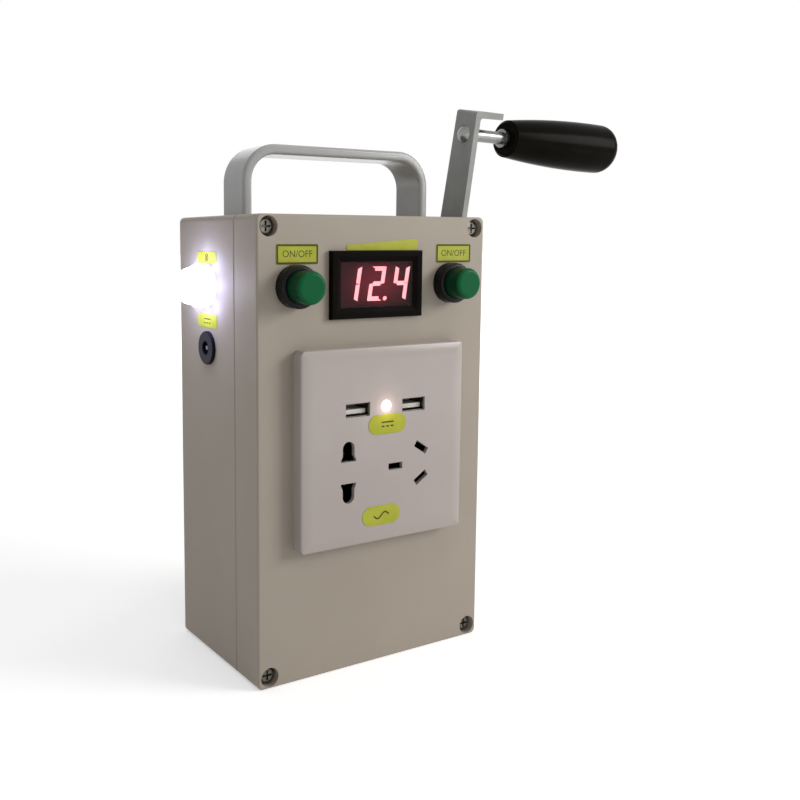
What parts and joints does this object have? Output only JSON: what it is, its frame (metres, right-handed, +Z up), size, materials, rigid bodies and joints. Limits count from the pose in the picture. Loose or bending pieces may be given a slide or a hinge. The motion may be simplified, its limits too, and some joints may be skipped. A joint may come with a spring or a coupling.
{
  "type": "hand crank generator",
  "caption": "Upright box with a hand crank on one side, a carry handle on top, and a socket plate, voltmeter, pushbuttons, lamp and charging jack on its faces.",
  "frame": {"origin": "centre of the box's bottom face", "axes": "+X to the crank side, +Y to the back, +Z up; the socket plate and meter face -Y"},
  "size_m": [0.2375, 0.0895, 0.2524],
  "materials": {
    "warm_grey_abs": "fine texture",
    "gasket_rubber": "matt",
    "zinc_screw": "zinc plated",
    "handle_grey": "satin",
    "plate_cream_grey": "satin",
    "black_plastic": "satin",
    "tongue_nylon": "moulded",
    "lamp_white": "moulded",
    "contact_brass": "rolled",
    "plated_sheet": "nickel plated",
    "circuit_board": "solder mask",
    "indicator_clear": "clear, lit",
    "meter_red_window": "clear red",
    "display_dark": "matt",
    "digit_red": "lit",
    "button_black": "satin",
    "button_green": "satin",
    "nut_nylon": "moulded",
    "spring_wire": "drawn",
    "lamp_clear": "clear, lit",
    "jack_navy": "moulded",
    "label_film": "printed film",
    "shaft_steel": "turned",
    "strap_steel": "dull plated",
    "grip_rubber": "soft touch",
    "bearing_bronze": "sintered",
    "gear_brass": "cut",
    "gear_steel": "cut",
    "plate_aluminium": "milled",
    "can_steel": "drawn",
    "lamination": "stacked",
    "magnet_ferrite": "sintered",
    "cell_sleeve": "shrink sleeve",
    "holder_black": "moulded",
    "capacitor_sleeve": "shrink sleeve",
    "lead_sleeve": "extruded"
  },
  "bodies": {
    "housing": {"base_shell": "warm_grey_abs", "front_lid": "warm_grey_abs", "lid_gasket": "gasket_rubber", "lid_screws": "zinc_screw", "handle_screws": "zinc_screw", "socket_screws": "zinc_screw", "gearbox_screws": "zinc_screw", "carry_handle": "handle_grey", "socket_cover": "plate_cream_grey", "socket_frame": "black_plastic", "socket_housing": "black_plastic", "meter_case": "black_plastic", "usb_tongues": "tongue_nylon", "lamp_body": "lamp_white", "socket_contacts": "contact_brass", "usb_shells": "plated_sheet", "jack_pin": "plated_sheet", "usb_board": "circuit_board", "meter_board": "circuit_board", "lamp_board": "circuit_board", "main_board": "circuit_board", "indicator_lens": "indicator_clear", "meter_window": "meter_red_window", "meter_display": "display_dark", "meter_digits": "digit_red", "button_left_collar": "button_black", "button_right_collar": "button_black", "button_nuts": "nut_nylon", "side_nuts": "nut_nylon", "button_springs": "spring_wire", "lamp_lens": "lamp_clear", "jack_body": "jack_navy", "labels": "label_film", "crank_bush": "bearing_bronze", "plate_bushes": "bearing_bronze", "gear_plate_outer": "plate_aluminium", "gear_plate_inner": "plate_aluminium", "gear_spacers": "plate_aluminium", "generator_cap": "plate_aluminium", "heat_sink": "plate_aluminium", "generator_can": "can_steel", "generator_stator": "lamination", "transformer": "lamination", "battery_cells": "cell_sleeve", "battery_holder": "holder_black", "capacitors": "capacitor_sleeve", "leads": "lead_sleeve"},
    "crank": {"crank_shaft": "shaft_steel", "crank_wheel": "gear_brass", "crank_arm": "strap_steel", "crank_nut": "shaft_steel", "grip_spindle": "shaft_steel"},
    "grip": {"grip": "grip_rubber"},
    "idler": {"idler_pinion": "gear_steel", "idler_wheel": "gear_brass"},
    "rotor": {"rotor_shaft": "shaft_steel", "rotor_magnet": "magnet_ferrite", "rotor_pinion": "gear_steel"},
    "button_left": {"button_left_cap": "button_green"},
    "button_right": {"button_right_cap": "button_green"}
  },
  "joints": [
    {"name": "crank_spin", "type": "hinge", "parent": "housing", "child": "crank", "pos_m": [0.064, 0.0019, 0.144], "axis": [1, 0, 0], "continuous": true},
    {"name": "grip_spin", "type": "hinge", "parent": "crank", "child": "grip", "pos_m": [0.08999, -0.01764, 0.23939], "axis": [0.9996, 0, -0.0279], "continuous": true},
    {"name": "idler_spin", "type": "hinge", "parent": "housing", "child": "idler", "pos_m": [0.0504, 0.006, 0.11626], "axis": [1, 0, 0], "continuous": true},
    {"name": "rotor_spin", "type": "hinge", "parent": "housing", "child": "rotor", "pos_m": [0.0446, 0.01452, 0.08955], "axis": [1, 0, 0], "continuous": true},
    {"name": "button_left_press", "type": "slide", "parent": "housing", "child": "button_left", "axis": [0, 1, 0], "range_m": [0, 0.003], "stiffness_N_per_m": 500, "springref_m": -0.003},
    {"name": "button_right_press", "type": "slide", "parent": "housing", "child": "button_right", "axis": [0, 1, 0], "range_m": [0, 0.003], "stiffness_N_per_m": 500, "springref_m": -0.003}
  ],
  "couplings": [
    {"joint": "idler_spin", "follows": "crank_spin", "ratio": -4},
    {"joint": "rotor_spin", "follows": "crank_spin", "ratio": 16}
  ]
}
